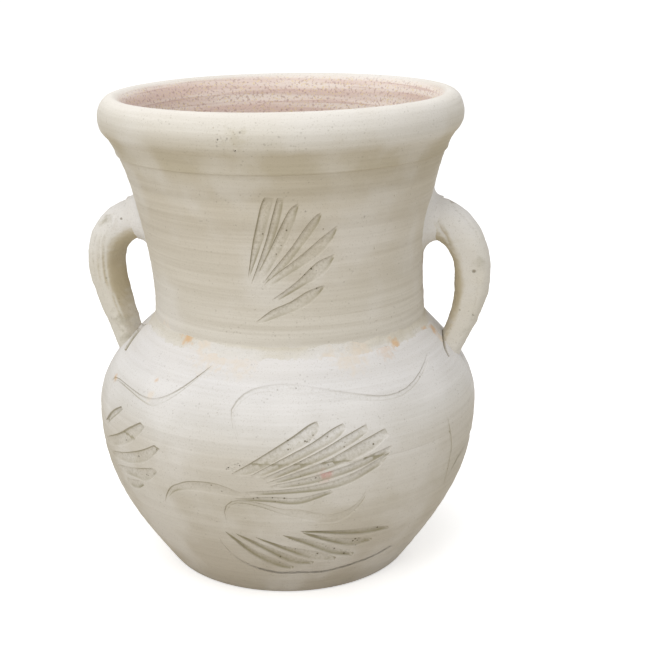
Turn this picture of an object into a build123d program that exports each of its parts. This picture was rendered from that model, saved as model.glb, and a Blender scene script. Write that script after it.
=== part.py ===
from build123d import *
from math import cos, radians, sin
import os

# Two-handled earthenware jar, hand thrown in sections, in millimetres.
# The origin is the middle of the underside, +Z is up and the handles lie along X.

# Overall form. The neck stands on the seat and the lip on the neck, so the heights add up.
base_radius = 131.0         # underside, where the jar stands
belly_radius = 203.5        # widest girth of the body
belly_height = 173.0        # height of the widest girth
seat_radius = 149.5         # outer edge of the shoulder's opening
seat_height = 262.0         # level rim of the shoulder, on which the neck sits
neck_height = 182.0         # seat to collar, along the neck's axis
lip_height = 58.0           # collar to the top of the lip

# Body wall
body_wall = 12.0            # thickness of the thrown wall
slab_thickness = 14.0       # thickness of the base slab
drain_radius = 12.0         # drain hole through the slab

# Body curve: the angle of the wall and how far each end keeps to it
foot_angle = 34.0           # outward lean of the wall above the underside, from upright
foot_run = 66.0
belly_run_below = 75.0
belly_run_above = 38.0
shoulder_angle = 45.0       # inward lean of the wall below the seat, from upright
shoulder_run = 42.0

# Neck, thrown apart and set on the shoulder a little out of true
neck_lean = 2.2             # degrees, towards -X
neck_shift = 4.5            # the neck's axis at the shoulder, towards +X
neck_wall = 12.0
seat_ledge = 4.7            # how much wider the seat is than the foot of the neck
waist_radius = 143.2        # narrowest outside radius
waist_rise = 43.0           # above the seat
flare_radius = 153.4        # a point on the flare, a little above the handles' roots
flare_rise = 123.0
collar_radius = 169.0       # top of the neck, under the lip
flare_angle = 22.0          # outward lean of the neck under the lip, from upright

# Lip, a thick rolled coil
lip_tilt = 0.7              # degrees, towards -X, less than the neck under it
lip_radius = 187.0          # outermost
lip_bulge_rise = 37.0       # outermost girth above the collar
crest_radius = 172.6        # top of the roll
mouth_radius = 158.0        # inside, where the roll runs into the neck
mouth_depth = 24.0          # from the top of the roll down to that edge
mouth_angle = 20.0          # inward lean of the roll there, going down, from upright
collar_step = 2.2           # how far the lip stands out over the neck below it

# Slip pressed into the seam round the foot of the neck
slip_height = 6.5
slip_foot = 3.8             # width of the slip outside the neck, on the seat
slip_shelf = 1.6            # and at its top
slip_depth = 6.0            # how far it reaches in under the neck's flare, before the neck is cut out

# Handles, pulled straps that bow out from the neck and come down on the shoulder
finger_gap = 34.0           # clear width between the neck's waist and the handle
handle_depth = 38.0         # along the radius, where the handle bows out furthest
handle_width = 44.0         # across, at the same place
root_depth = 44.0           # at the neck
root_width = 52.0
foot_depth = 28.0           # at the shoulder
foot_width = 42.0
strap_round = 15.0          # rounding of the strap's four edges
roundest_share = 0.48       # and at most this share of the strap's thinner side
root_rise = 110.0           # middle of the root on the neck, above the seat
bow_rise = 54.0             # where the handle bows out furthest, above the seat
foot_drop = 26.0            # middle of the foot on the shoulder, below the seat
root_sink = 6.0             # how far the root is pressed into the neck's wall
foot_sink = 16.0            # how far the foot runs on into the shoulder
root_run = 34.0             # how far the handle keeps its direction at the root
bow_run = 28.0              # and at its bow, up and down
foot_lean = 20.0            # lean of the handle at its foot, from upright
foot_lead = 26.0            # how far the handle keeps that lean

# Slip worked round the root of each handle
root_slip_spread = 7.0      # how far it spreads on the neck
root_slip_edge = 1.5        # its thickness at its outer end
root_slip_share = 0.32      # how much of the line from root to bow it covers


def toward(start, lean, run):
    """The point a run up from start, along a line that leans outwards by an angle."""
    return (start[0] + run * sin(radians(lean)), start[1] + run * cos(radians(lean)))


def inset(point, wall, lean):
    """A point moved into the clay by a wall's thickness, square to a leaning wall."""
    return (point[0] - wall * cos(radians(lean)), point[1] + wall * sin(radians(lean)))


def body_curves(wall=0.0):
    """Control points of the body's two curves: underside to girth, and girth to seat."""
    foot = (base_radius, 0)
    girth = (belly_radius, belly_height)
    seat = (seat_radius, seat_height)
    lower = [
        inset(foot, wall, foot_angle),
        inset(toward(foot, foot_angle, foot_run), wall, foot_angle),
        inset(toward(girth, 0, -belly_run_below), wall, 0),
        inset(girth, wall, 0),
    ]
    upper = [
        inset(girth, wall, 0),
        inset(toward(girth, 0, belly_run_above), wall, 0),
        inset(toward(seat, -shoulder_angle, -shoulder_run), wall, -shoulder_angle),
        inset(seat, wall, -shoulder_angle),
    ]
    return lower, upper


def curve_radius(points, level):
    """Radius at which a curve with four control points passes a level."""
    low, high = 0.0, 1.0
    for _ in range(40):
        share = (low + high) / 2
        weights = [(1 - share) ** 3, 3 * share * (1 - share) ** 2, 3 * share**2 * (1 - share), share**3]
        radius = sum(weight * point[0] for weight, point in zip(weights, points))
        reached = sum(weight * point[1] for weight, point in zip(weights, points))
        low, high = (share, high) if reached < level else (low, share)
    return radius


def body_solid(wall=0.0):
    """The body as solid clay, inside a skin one wall in, up to the level seat."""
    lower, upper = body_curves(wall)
    beyond = toward(upper[-1], -shoulder_angle, 2 * body_wall)
    with BuildPart() as solid:
        with BuildSketch(Plane.YZ):
            with BuildLine():
                Bezier(*lower)
                Bezier(*upper)
                Polyline(upper[-1], beyond, (0, beyond[1]), (0, lower[0][1]), lower[0])
            make_face()
        revolve(axis=Axis.Z)
        split(bisect_by=Plane.XY.offset(seat_height), keep=Keep.BOTTOM)
    return solid.part


def leaning_axis(origin, lean):
    """A turning axis through a point, leaning from upright towards -X."""
    return Axis(origin, (-sin(radians(lean)), 0, cos(radians(lean))))


def turning_plane(origin, lean):
    """The plane of an outline on a leaning axis: across is +Y and up is along the axis."""
    return Plane(origin=origin, x_dir=(0, 1, 0), z_dir=(cos(radians(lean)), 0, sin(radians(lean))))


# The neck is turned about an axis that stands on the seat, and the lip about one on the collar
neck_foot = Vector(neck_shift, 0, seat_height)
neck_axis = leaning_axis(neck_foot, neck_lean)
neck_foot_radius = seat_radius - seat_ledge
collar = neck_foot + neck_axis.direction * neck_height
lip_axis = leaning_axis(collar, lip_tilt)


def neck_solid(wall=0.0):
    """The neck as solid clay, inside a skin one wall in, cut level where it sits.

    Heights are counted from the seat. The lip's plane cuts the top.
    """
    spare = 2 * body_wall
    foot = (neck_foot_radius - wall, 0)
    waist = (waist_radius - wall, waist_rise)
    flare = (flare_radius - wall, flare_rise)
    top = (collar_radius - wall, neck_height)
    beyond = toward(top, flare_angle, spare)
    with BuildPart() as solid:
        with BuildSketch(turning_plane(neck_foot, neck_lean)):
            with BuildLine():
                Spline(foot, waist, flare, top, tangents=[(0, 1), toward((0, 0), flare_angle, 1)])
                Polyline(top, beyond, (0, beyond[1]), (0, -spare), (foot[0], -spare), foot)
            make_face()
        revolve(axis=neck_axis)
        split(bisect_by=Plane.XY.offset(seat_height), keep=Keep.TOP)
        split(bisect_by=Plane(origin=collar, z_dir=lip_axis.direction), keep=Keep.BOTTOM)
    return solid.part


body_core = body_solid()
body_hollow = body_solid(body_wall)
neck_core = neck_solid()
neck_hollow = neck_solid(neck_wall)

# Base slab, with its drain hole
with BuildPart() as base:
    add(body_core)
    split(bisect_by=Plane.XY.offset(slab_thickness), keep=Keep.BOTTOM)
    with Locations((0, 0, slab_thickness)):
        Hole(radius=drain_radius)

# Lower half of the belly, thrown up from the slab
with BuildPart() as belly_lower:
    add(body_core)
    add(body_hollow, mode=Mode.SUBTRACT)
    split(bisect_by=Plane.XY.offset(slab_thickness), keep=Keep.TOP)
    split(bisect_by=Plane.XY.offset(belly_height), keep=Keep.BOTTOM)

# Upper half of the belly, closing in to the shoulder's level seat
with BuildPart() as belly_upper:
    add(body_core)
    add(body_hollow, mode=Mode.SUBTRACT)
    split(bisect_by=Plane.XY.offset(belly_height), keep=Keep.TOP)

# Neck, standing on the shoulder
with BuildPart() as neck:
    add(neck_core)
    add(neck_hollow, mode=Mode.SUBTRACT)

# Lip, rolled outwards over the top of the neck. Heights are counted from the collar.
lip_foot = (collar_radius + collar_step, 0)
lip_bulge = (lip_radius, lip_bulge_rise)
lip_crest = (crest_radius, lip_height)
lip_mouth = (mouth_radius, lip_height - mouth_depth)
lip_inside = (collar_radius - neck_wall, 0)
with BuildPart() as lip:
    with BuildSketch(turning_plane(collar, lip_tilt)):
        with BuildLine():
            roll = [(1, 1), (0, 1), (-1, 0), toward((0, 0), mouth_angle, -1)]
            Spline(lip_foot, lip_bulge, lip_crest, lip_mouth, tangents=roll)
            Polyline(lip_mouth, lip_inside, lip_foot)
        make_face()
    revolve(axis=lip_axis)

# Slip in the seam, a level ring round the foot of the neck. Heights are counted from the seat.
with BuildPart() as neck_seam_slip:
    with BuildSketch(turning_plane(neck_foot, 0)):
        with BuildLine():
            Polyline(
                (neck_foot_radius - slip_depth, 0),
                (neck_foot_radius + slip_foot, 0),
                (neck_foot_radius + slip_shelf, slip_height),
                (neck_foot_radius - slip_depth, slip_height),
                close=True,
            )
        make_face()
    revolve(axis=leaning_axis(neck_foot, 0))
    add(neck_core, mode=Mode.SUBTRACT)

# Line of a handle, from inside the neck's wall out to the bow and down into the shoulder
handle_reach = waist_radius + finger_gap + handle_depth / 2
root_point = (flare_radius - root_sink, seat_height + root_rise)
root_lead = (root_point[0] + root_run, root_point[1])
bow_point = (handle_reach, seat_height + bow_rise)
foot_height = seat_height - foot_drop
foot_point = (curve_radius(body_curves()[1], foot_height), foot_height)
foot_end = toward(foot_point, foot_lean, -foot_sink)
with BuildLine(Plane.XZ) as upper_line:
    Bezier(root_point, root_lead, toward(bow_point, 0, bow_run), bow_point)
with BuildLine(Plane.XZ) as lower_line:
    Bezier(bow_point, toward(bow_point, 0, -bow_run), toward(foot_point, foot_lean, foot_lead), foot_end)
upper_curve = upper_line.edge()
lower_curve = lower_line.edge()


def strap_section(curve, share, depth, width):
    """The strap's rounded section, square to the handle's line at a share of one curve."""
    along = curve % share
    plane = Plane(origin=curve @ share, x_dir=along.cross(Vector(0, 1, 0)), z_dir=along)
    with BuildSketch(plane) as section:
        RectangleRounded(depth, width, min(strap_round, roundest_share * min(depth, width)))
    return section.sketch


def between(start, end, share):
    return start + (end - start) * share


def upper_section(share, extra=0.0):
    """Section between the root and the bow, with slip of a thickness round it."""
    depth = between(root_depth, handle_depth, share) + 2 * extra
    width = between(root_width, handle_width, share) + 2 * extra
    return strap_section(upper_curve, share, depth, width)


def lower_section(share):
    """Section between the bow and the foot."""
    depth = between(handle_depth, foot_depth, share)
    width = between(handle_width, foot_width, share)
    return strap_section(lower_curve, share, depth, width)


# The whole strap on the +X side, before it is cut to the neck and the shoulder
slip_shares = [0, root_slip_share / 2, root_slip_share]
with BuildPart() as strap:
    for share in slip_shares + [between(root_slip_share, 1, 0.5), 1]:
        add(upper_section(share))
    for share in [0.5, 1]:
        add(lower_section(share))
    loft()

# The slip round its root, before the strap and the neck are taken out of it
with BuildPart() as root_mound:
    for share in slip_shares:
        add(upper_section(share, between(root_slip_spread, root_slip_edge, share / root_slip_share)))
    loft()

with BuildPart() as handle_right:
    add(strap.part)
    add(neck_core, mode=Mode.SUBTRACT)
    add(body_core, mode=Mode.SUBTRACT)

with BuildPart() as handle_left:
    add(strap.part.mirror(Plane.YZ))
    add(neck_core, mode=Mode.SUBTRACT)
    add(body_core, mode=Mode.SUBTRACT)

with BuildPart() as handle_right_slip:
    add(root_mound.part)
    add(strap.part, mode=Mode.SUBTRACT)
    add(neck_core, mode=Mode.SUBTRACT)

with BuildPart() as handle_left_slip:
    add(root_mound.part.mirror(Plane.YZ))
    add(strap.part.mirror(Plane.YZ), mode=Mode.SUBTRACT)
    add(neck_core, mode=Mode.SUBTRACT)

pieces = {
    "base": base,
    "belly_lower": belly_lower,
    "belly_upper": belly_upper,
    "neck_seam_slip": neck_seam_slip,
    "neck": neck,
    "lip": lip,
    "handle_left": handle_left,
    "handle_right": handle_right,
    "handle_left_slip": handle_left_slip,
    "handle_right_slip": handle_right_slip,
}
os.makedirs("parts", exist_ok=True)
for name, piece in pieces.items():
    piece.part.label = name
    export_step(piece.part, f"parts/{name}.step")
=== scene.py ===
# %% [markdown]
# # A two-handled jar of thrown and carved earthenware
# The jar was thrown in sections on a wheel, joined with slip, given two pulled handles and carved
# with a loop tool while the clay was still soft. This file makes it in the same order: it turns the
# body, the neck and the lip, cuts the fronds, works the slip into the joins and pulls the handles.

# %% Load the frame
import bpy
import numpy as np
from math import cos, pi, radians, sin, tau
from mathutils import Euler, Matrix, Vector, noise


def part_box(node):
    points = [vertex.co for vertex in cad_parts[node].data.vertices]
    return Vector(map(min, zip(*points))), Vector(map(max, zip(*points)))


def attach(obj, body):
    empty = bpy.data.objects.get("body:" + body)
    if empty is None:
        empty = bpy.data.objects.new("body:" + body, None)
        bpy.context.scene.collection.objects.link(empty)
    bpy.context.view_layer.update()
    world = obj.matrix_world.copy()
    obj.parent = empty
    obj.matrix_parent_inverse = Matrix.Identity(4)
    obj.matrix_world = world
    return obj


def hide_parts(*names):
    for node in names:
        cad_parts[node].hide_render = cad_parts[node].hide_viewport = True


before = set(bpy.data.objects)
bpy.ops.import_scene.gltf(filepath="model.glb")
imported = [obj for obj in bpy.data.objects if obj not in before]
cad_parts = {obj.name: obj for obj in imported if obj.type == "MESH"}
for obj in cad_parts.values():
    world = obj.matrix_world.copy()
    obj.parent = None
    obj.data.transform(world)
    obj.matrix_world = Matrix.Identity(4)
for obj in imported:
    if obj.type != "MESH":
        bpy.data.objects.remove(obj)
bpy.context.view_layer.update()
MM = 0.001
print("frame nodes", sorted(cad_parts))

# %% [markdown]
# The camera comes first, because the carving is placed by looking through it. It stands in front of
# the jar, a little to its right, and looks down at it through a 72 mm lens, as the photographer did.

# %% Camera
PHOTO_SIZE = 653               # the photograph's width and height, in its own pixels
FOCAL_PIXELS = 1300.0
CAMERA_DISTANCE = 1.3459
CAMERA_HEIGHT = 0.6573
CAMERA_BEARING = radians(6)    # how far round the jar the camera stands, from the front
CAMERA_PITCH = radians(-16.896)
CAMERA_YAW = radians(1.823)
CAMERA_ROLL = radians(-0.273)
SENSOR = 36.0

aim = Euler((pi / 2 + CAMERA_PITCH, 0, CAMERA_BEARING - CAMERA_YAW)).to_matrix()
aim = aim @ Matrix.Rotation(CAMERA_ROLL, 3, "Z")
stand = (CAMERA_DISTANCE * sin(CAMERA_BEARING), -CAMERA_DISTANCE * cos(CAMERA_BEARING), CAMERA_HEIGHT)
bpy.ops.object.camera_add(location=stand, rotation=aim.to_euler())
camera = bpy.context.object
camera.name = "camera"
camera.data.lens = FOCAL_PIXELS * SENSOR / PHOTO_SIZE
camera.data.sensor_width = SENSOR
bpy.context.scene.camera = camera
print("camera lens %.1f mm" % camera.data.lens)


def sight(pixel):
    """The direction in which the camera sees a pixel of the photograph."""
    x, y = pixel
    middle = PHOTO_SIZE / 2
    return (aim @ Vector(((x - middle) / FOCAL_PIXELS, (middle - y) / FOCAL_PIXELS, -1))).normalized()


# %% [markdown]
# Nearly every step below works on one object, or joins one to another, so a few short helpers
# select things. An operator acts on all that is selected, which is why each helper starts by
# selecting nothing.


# %% Helpers for selecting
def only(*objects):
    """Selects these objects alone, and makes the first one active."""
    bpy.ops.object.select_all(action="DESELECT")
    for thing in objects:
        thing.select_set(True)
    bpy.context.view_layer.objects.active = objects[0]
    return objects[0]


def join(*objects):
    only(*objects)
    bpy.ops.object.join()
    return objects[0]


def duplicate(thing):
    only(thing)
    bpy.ops.object.duplicate()
    return bpy.context.object


def added(operator, name, **settings):
    """Adds a primitive with nothing else selected, and names it."""
    bpy.ops.object.select_all(action="DESELECT")
    operator(**settings)
    bpy.context.object.name = name
    return bpy.context.object


def remove(*objects):
    for thing in objects:
        bpy.data.objects.remove(thing)


def in_edit(thing, *steps):
    """Runs operators in edit mode, on all of one object."""
    only(thing)
    bpy.ops.object.mode_set(mode="EDIT")
    bpy.ops.mesh.select_all(action="SELECT")
    for step in steps:
        step()
    bpy.ops.object.mode_set(mode="OBJECT")
    return thing


def points_of(thing):
    """The places of a mesh's vertices, one row each."""
    flat = np.empty(len(thing.data.vertices) * 3)
    thing.data.vertices.foreach_get("co", flat)
    return flat.reshape(-1, 3)


def put_points(thing, points):
    thing.data.vertices.foreach_set("co", points.ravel())
    thing.data.update()


def normals_of(thing):
    flat = np.empty(len(thing.data.vertices) * 3)
    thing.data.vertex_normals.foreach_get("vector", flat)
    return flat.reshape(-1, 3)


def apply_modifier(thing, kind, **settings):
    """Adds a modifier with its settings, and applies it."""
    only(thing)
    bpy.ops.object.modifier_add(type=kind)
    modifier = thing.modifiers[-1]
    for key, value in settings.items():
        setattr(modifier, key, value)
    bpy.ops.object.modifier_apply(modifier=modifier.name)
    return thing


print("helpers ready")

# %% [markdown]
# A thrown pot is a turned form, so each section starts as its outline in the XZ plane. A Bezier
# curve draws the outline the way a potter's rib does, with a few points and the direction of the
# wall at each. The Screw modifier then turns it round the wheel's axis. It does in a second what
# the spin operator needs half a minute for at this many steps, and closes its own seam.

# %% Helpers for turning
ROUND_STEPS = 480              # columns round the jar, about 2.7 mm apart at the girth


def draw_line(name, knots, steps):
    """A Bezier line in the XZ plane, as a mesh of edges. Sizes are in millimetres.

    A knot is (radius, height, run in, run out), where a run is the way to its handle.
    """
    line = added(bpy.ops.curve.primitive_bezier_curve_add, name)
    spline = line.data.splines[0]
    spline.bezier_points.add(len(knots) - 2)
    for point, (radius, height, run_in, run_out) in zip(spline.bezier_points, knots):
        point.handle_left_type = point.handle_right_type = "FREE"
        point.co = (radius * MM, 0, height * MM)
        point.handle_left = ((radius + run_in[0]) * MM, 0, (height + run_in[1]) * MM)
        point.handle_right = ((radius + run_out[0]) * MM, 0, (height + run_out[1]) * MM)
    line.data.resolution_u = steps
    bpy.ops.object.convert(target="MESH")
    return line


def lean(degrees, run):
    """A run along a wall that leans outwards from upright by an angle."""
    return (run * sin(radians(degrees)), run * cos(radians(degrees)))


def corner(radius, height):
    return (radius, height, (0, 0), (0, 0))


def turn(*lines, steps=ROUND_STEPS):
    """Joins lines that meet end to end into one outline, and turns it round Z."""
    outline = join(*lines)
    in_edit(outline, lambda: bpy.ops.mesh.remove_doubles(threshold=1e-6))
    apply_modifier(outline, "SCREW", steps=steps, render_steps=steps,
                   use_merge_vertices=True, merge_threshold=1e-6)
    in_edit(outline, lambda: bpy.ops.mesh.remove_doubles(threshold=1e-6),
            lambda: bpy.ops.mesh.normals_make_consistent(inside=False))
    print(outline.name, "turned,", len(outline.data.polygons), "faces")
    return outline


# %% [markdown]
# ## The body
# The body runs from the foot to the girth and in again to the level seat under the neck. Its inside
# is a second, coarser line, because it shows only through the mouth. Levels come from the frame.
# The thin lines scratched round the body while it turned get rows of points of their own.

# %% Turn the body
SLAB_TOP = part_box("base")[1].z / MM
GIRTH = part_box("belly_lower")[1].z / MM
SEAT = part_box("belly_upper")[1].z / MM
GIRTH_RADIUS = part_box("belly_lower")[1].y / MM
FOOT_RADIUS = 131.0
FOOT_ROUND = 3.0
FOOT_LEAN = 34.0
SHOULDER_LEAN = -45.0
SEAT_RADIUS = 149.5
WALL = 12.0
DRAIN_RADIUS = 12.0
BODY_LINES = (98.5, 90.5, 171.0, 121.0, 64.0)     # heights of the scratched lines
LINE_HALF = 1.0                                   # half the width of a scratched line

belly_line = draw_line("body", [
    (FOOT_RADIUS - FOOT_ROUND, 0, (0, 0), (FOOT_ROUND * 0.6, 0)),
    (FOOT_RADIUS + 2.0, FOOT_ROUND, (-FOOT_ROUND * 0.4, -FOOT_ROUND * 0.6), lean(FOOT_LEAN, 62)),
    (GIRTH_RADIUS, GIRTH, (0, -75), (0, 38)),
    (SEAT_RADIUS, SEAT, lean(SHOULDER_LEAN, -42), (0, 0)),
], 104)
seat_inner = SEAT_RADIUS - WALL / cos(radians(SHOULDER_LEAN))
inside_line = draw_line("body_inside", [
    corner(SEAT_RADIUS, SEAT),
    (seat_inner, SEAT, (0, 0), lean(SHOULDER_LEAN, -42)),
    (GIRTH_RADIUS - WALL, GIRTH, (0, 38), (0, -75)),
    (FOOT_RADIUS + 2, SLAB_TOP, lean(FOOT_LEAN, 50), (0, 0)),
    corner(DRAIN_RADIUS, SLAB_TOP),
    corner(DRAIN_RADIUS, 0),
    corner(FOOT_RADIUS - FOOT_ROUND, 0),
], 10)
for level in BODY_LINES:
    for edge in (-LINE_HALF, 0, LINE_HALF):
        height = (level + edge) * MM
        in_edit(belly_line, lambda: bpy.ops.mesh.bisect(plane_co=(0, 0, height), plane_no=(0, 0, 1)))
body_wall = points_of(belly_line)[:, [0, 2]] / MM
body_wall = body_wall[np.argsort(body_wall[:, 1])]
body = turn(belly_line, inside_line)
true_body = points_of(body)

# %% [markdown]
# ## What the hands leave
# Nothing thrown by hand is quite true. The neck was set a little off the axis and leans back over
# it, the lip dips to one side, the wall has shallow rings from the fingers, and it is nowhere
# perfectly round. One function of place says all that, and every turned section and every cut is
# moved by it, so that they still meet.

# %% Hand-made unevenness
SHIFT_LEVELS = (0, 120, 173, 235, 262, 290, 318, 372, 444, 520)          # heights, mm
SHIFTS = (0.0, 0.2, 0.6, 1.4, 3.4, 3.9, 2.6, 0.3, -2.4, -3.4)            # the centre's way along +X there
LIP_TILT = radians(0.7)
RINGS = [  # height of the ring, its depth, turns it drifts per round, phase
    (17.0, 0.13, 1, 0.4),
    (11.3, 0.09, -1, 2.1),
    (7.7, 0.06, 1, 4.0),
    (5.2, 0.05, 0, 1.0),
]
WOBBLES = [  # lobes round the jar, how far each goes, height over which it changes, phase
    (2, 0.55, 420, 0.7),
    (3, 0.45, 260, 2.3),
    (5, 0.25, 170, 4.4),
    (9, 0.10, 90, 1.7),
]


def smooth(low, high, values):
    """0 below low, 1 above high, and a smooth step between."""
    share = np.clip((values - low) / (high - low), 0, 1)
    return share * share * (3 - 2 * share)


def scratches(height, around, levels):
    """Depth of the scratched lines, in mm, each fading and returning round the jar."""
    depth = np.zeros_like(height)
    for number, level in enumerate(levels):
        waver = level + 0.5 * np.sin(2 * around + number)
        fade = 0.55 + 0.45 * np.sin(around * (1 + number % 3) + 2.4 * number)
        depth += 0.42 * fade * np.exp(-(((height - waver) / (0.8 * LINE_HALF)) ** 2))
    return depth


def handmade(points, levels=()):
    """Moves true points to where the potter's hands left them."""
    x, y, z = points.T / MM
    around = np.arctan2(y, x)
    radius = np.hypot(x, y)
    push = np.zeros_like(radius)
    for pitch, depth, drift, phase in RINGS:
        wave = np.sin(tau * z / pitch + drift * around + phase)
        push += depth * wave * (0.65 + 0.35 * np.sin(around + z / 40 + phase))
    for lobes, reach, run, phase in WOBBLES:
        push += reach * np.sin(lobes * around + phase + tau * z / run)
    push *= smooth(0, 12, z) * smooth(30, 90, radius)
    push -= scratches(z, around, levels)
    shift = np.interp(z, SHIFT_LEVELS, SHIFTS)
    rise = x * sin(LIP_TILT) * smooth(SEAT, 444, z)
    moved = np.stack([x + push * np.cos(around) + shift, y + push * np.sin(around), z + rise], axis=1)
    return moved * MM


def true_places(points):
    """Where points of the finished clay lay before handmade moved them, in metres."""
    return 2 * points - handmade(points)


put_points(body, handmade(true_body, BODY_LINES))
print("largest move %.2f mm" % (np.abs(points_of(body) - true_body).max() / MM))

# %% [markdown]
# ## The loop tool
# The fronds were cut with a loop tool: each cut is steep on the side where the loop stood up and
# runs out flat on the other. A cutter is made the same way every time, so one blank is modelled
# once, a short prism of rings, and a copy of it is bent along each stroke. A stroke is given by its
# two edges as they look in the photograph. Each point is dropped on to the clay along the camera's
# line of sight and noted as a bearing and a height, so the same stroke can be cut elsewhere too.

# %% The blank cutter
STATIONS = 26                  # rings along a cutter
LIFT = 3.5                     # how far its open top stands clear of the clay, mm
FRINGE = 0.5                   # and how far it reaches past the edges of the cut there

# Floor of a cut from its steep edge to its flat edge: (share of the width, share of the depth)
GOUGE = ((0.0, 0.0), (0.05, 0.72), (0.18, 1.0), (0.48, 0.86), (0.86, 0.5), (1.0, 0.0))
GROOVE = ((0.0, 0.0), (0.12, 0.9), (0.34, 1.0), (0.62, 0.8), (0.88, 0.75), (1.0, 0.0))
SPOKES = len(GOUGE) + 2


def prism(name, spokes, rings):
    """A column of rings one unit apart, with the ring and the spoke that each of its points is on."""
    column = added(bpy.ops.mesh.primitive_circle_add, name, vertices=spokes, radius=1, fill_type="NGON")
    bpy.ops.object.mode_set(mode="EDIT")
    bpy.ops.mesh.select_all(action="SELECT")
    for _ in range(rings - 1):
        bpy.ops.mesh.extrude_region_move(TRANSFORM_OT_translate={"value": (0, 0, 1)})
    bpy.ops.object.mode_set(mode="OBJECT")
    x, y, z = points_of(column).T
    spoke = np.rint(np.arctan2(y, x) / tau * spokes).astype(int) % spokes
    return column, np.rint(z).astype(int), spoke


blank, blank_ring, blank_spoke = prism("cutter_blank", SPOKES, STATIONS)
in_edit(blank, lambda: bpy.ops.mesh.normals_make_consistent(inside=False))
print("blank cutter", len(blank.data.vertices), "points")


def even_line(knots, count):
    """A smooth line through knots, as points evenly spaced along it."""
    knots = np.array(knots, float)
    ends = np.vstack([2 * knots[0] - knots[1], knots, 2 * knots[-1] - knots[-2]])
    fine = []
    for a, b, c, d in zip(ends, ends[1:], ends[2:], ends[3:]):
        for t in np.linspace(0, 1, 12, endpoint=False):
            fine.append(0.5 * (2 * b + (c - a) * t + (2 * a - 5 * b + 4 * c - d) * t * t
                               + (3 * b - a - 3 * c + d) * t**3))
    fine = np.array(fine + [knots[-1]])
    steps = np.r_[0, np.cumsum(np.linalg.norm(np.diff(fine, axis=0), axis=1))]
    wanted = np.linspace(0, steps[-1], count)
    return np.stack([np.interp(wanted, steps, fine[:, axis]) for axis in range(knots.shape[1])], axis=1)


def trace(clay, pixels):
    """Bearings and heights (mm), in true space, where the camera sees a line of pixels on a piece."""
    spots = []
    for pixel in even_line(pixels, STATIONS):
        hit, place, _, _ = clay.ray_cast(Vector(stand), sight(pixel))
        if not hit:
            raise ValueError(f"the camera sees no {clay.name} at {pixel}")
        x, y, z = true_places(np.array([place]))[0] / MM
        spots.append((np.arctan2(y, x), z))
    return np.array(spots)


def wall_at(wall, spots):
    """Points of a turned wall at bearings and heights, and the way it faces there."""
    bearing, height = spots.T
    radius, higher, lower = (np.interp(height + step, wall[:, 1], wall[:, 0]) for step in (0, 0.5, -0.5))
    east, north = np.cos(bearing), np.sin(bearing)
    facing = np.stack([east, north, lower - higher], axis=1)
    facing /= np.linalg.norm(facing, axis=1)[:, None]
    return np.stack([radius * east, radius * north, height], axis=1), facing


def shape_cutter(name, wall, steep, flat, depth, floor=GOUGE, taper=(0.25, 0.07)):
    """A cutter bent along one stroke, in true space. The depth is in mm."""
    cutter = duplicate(blank)
    cutter.name = name
    a, facing_a = wall_at(wall, steep)
    b, facing_b = wall_at(wall, flat)
    out = (facing_a + facing_b) / 2
    across = b - a
    width = np.linalg.norm(across, axis=1)[:, None]
    side = across / width
    share = np.linspace(0, 1, STATIONS)[:, None]
    ease = np.clip(np.minimum(share / taper[0], (1 - share) / taper[1]), 0, 1)
    sink = depth * (0.12 + 0.88 * np.sin(ease * pi / 2)) * np.minimum(1, width / 3)
    ring = [a + across * along - out * sink * down for along, down in floor]
    ring += [b + side * FRINGE + out * LIFT, a - side * FRINGE + out * LIFT]
    put_points(cutter, np.stack(ring, axis=1)[blank_ring, blank_spoke] * MM)
    in_edit(cutter, lambda: bpy.ops.mesh.normals_make_consistent(inside=False))
    return cutter


def boolean(thing, tool, operation="DIFFERENCE"):
    """Cuts with a tool, or adds it. The cut faces keep the tool's material."""
    apply_modifier(thing, "BOOLEAN", operation=operation, object=tool,
                   solver="MANIFOLD", material_mode="TRANSFER")
    remove(tool)
    return thing


# %% [markdown]
# ## The frond on the belly
# Two fans of leaves spring from one point, with a curled leaf to the left, a hooked tendril between
# the fans and a long wavy stem above them. The edges are pixels in the photograph, steep edge first.

# %% Strokes of the belly's frond
UPPER_FAN = {
    "upper_leaf_1": ([(231, 474), (257, 459), (290, 438), (308, 425), (317, 421)],
                     [(240, 477), (262, 471), (290, 454.5), (309, 443.5), (320, 430)]),
    "upper_leaf_2": ([(250, 476), (280, 460), (310, 444), (330, 430), (343, 423)],
                     [(256, 479), (285, 468), (315, 453), (336, 441), (347, 429)]),
    "upper_leaf_3": ([(262, 479), (290, 466), (320, 451), (345, 436), (366, 424)],
                     [(268, 482), (300, 470), (330, 457.5), (352, 445), (369, 432)]),
    "upper_leaf_4": ([(266, 483), (300, 471), (330, 459), (358, 443), (385, 428)],
                     [(272, 485), (305, 477), (340, 466), (370, 452.5), (389, 436)]),
    "upper_leaf_5": ([(270, 486), (310, 477), (345, 466), (372, 454), (392, 445)],
                     [(274, 490), (310, 485), (345, 475), (370, 464), (390, 452)]),
    "upper_leaf_6": ([(245, 492), (290, 489), (325, 483), (355, 472), (391, 451)],
                     [(250, 496), (290, 494.5), (325, 491), (350, 484), (381, 466)]),
    "upper_leaf_7": ([(234, 498.5), (270, 497), (300, 497.5), (331, 490)],
                     [(245, 501), (270, 503), (300, 505), (334, 493)]),
}
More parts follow.
